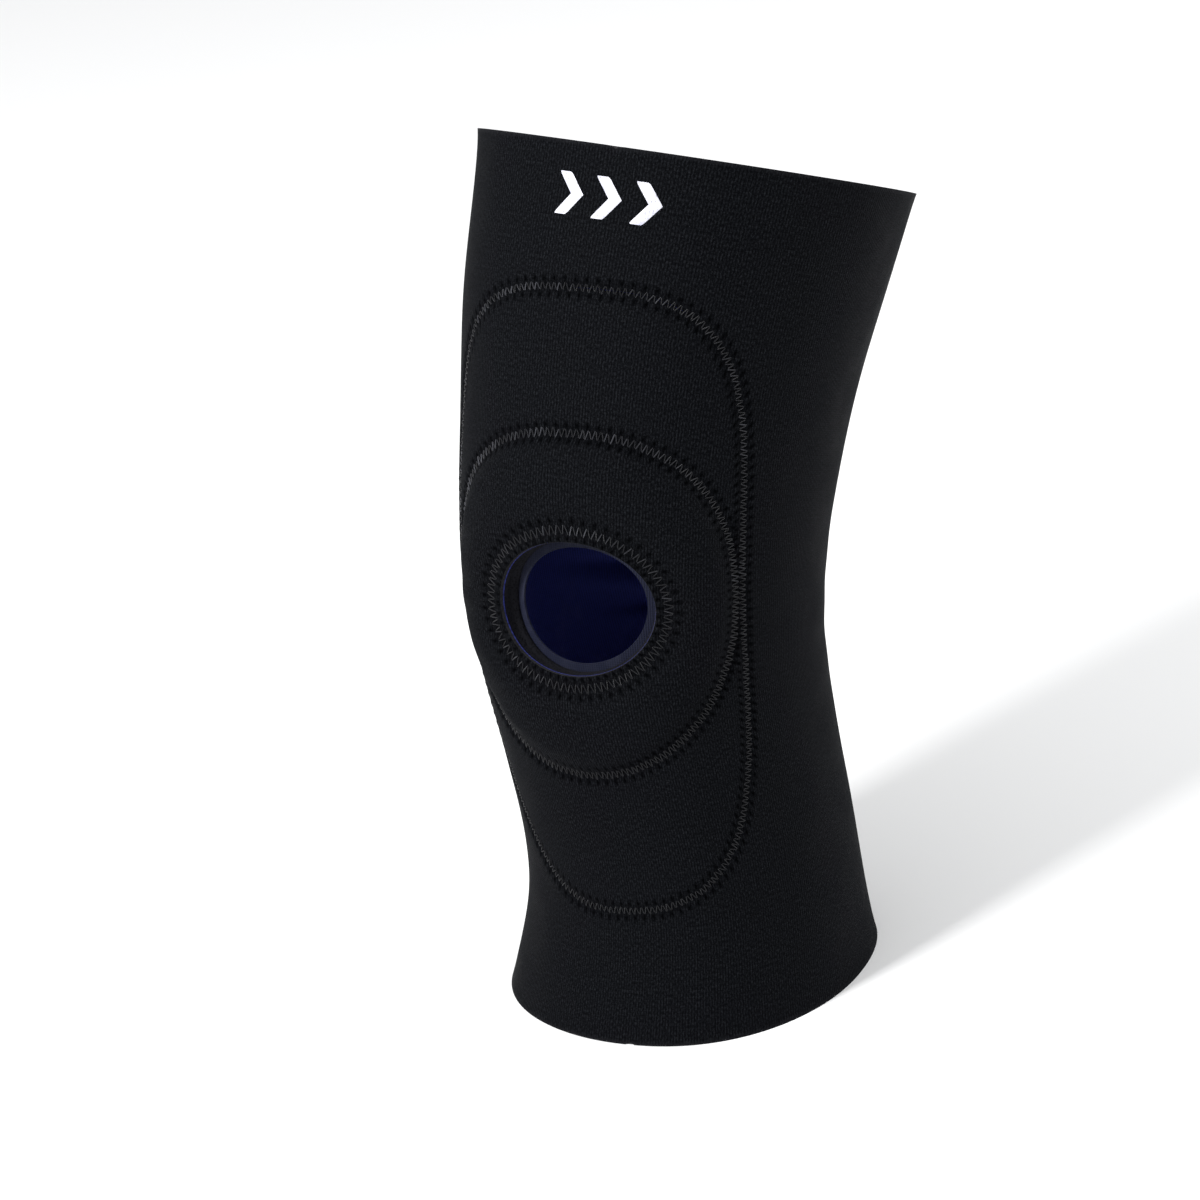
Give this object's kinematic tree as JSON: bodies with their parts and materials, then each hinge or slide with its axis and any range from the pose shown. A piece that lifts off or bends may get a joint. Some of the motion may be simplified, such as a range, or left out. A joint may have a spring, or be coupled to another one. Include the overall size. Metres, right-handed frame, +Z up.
{
  "type": "knee brace",
  "caption": "Pull-on knee brace for a left knee: a stitched neoprene sleeve with an oval front panel, an open patella and a ring-shaped buttress pad.",
  "frame": {"origin": "middle of the brace's footprint box, on the plane of the lower hem", "axes": "+Z up the calf, -Y towards the front of the knee, +X towards the outer side of a left knee"},
  "size_m": [0.16, 0.205, 0.3251],
  "materials": {
    "black_nylon": "fine vertical ribbed nylon jersey, matt with a soft sheen",
    "neoprene": "closed-cell foam, matt, fine cells on the cut edges",
    "blue_lining": "royal blue nylon jersey, matt",
    "pad_foam": "soft dark foam, matt",
    "black_thread": "twisted polyester thread, slightly shiny",
    "silver_print": "silver-white heat-transfer print, satin"
  },
  "bodies": {
    "root": {"wrap_face": "black_nylon", "wrap_core": "neoprene", "wrap_lining": "blue_lining", "front_face": "black_nylon", "front_core": "neoprene", "front_lining": "blue_lining", "patella_buttress_pad": "pad_foam", "pad_backing": "blue_lining", "window_seam_needle_thread": "black_thread", "window_seam_looper_thread": "black_thread", "pad_seam_needle_thread": "black_thread", "pad_seam_looper_thread": "black_thread", "opening_seam_needle_thread": "black_thread", "opening_seam_looper_thread": "black_thread", "back_seam_needle_thread": "black_thread", "back_seam_looper_thread": "black_thread", "badge_chevron_inner": "silver_print", "badge_chevron_middle": "silver_print", "badge_chevron_outer": "silver_print"}
  },
  "joints": []
}
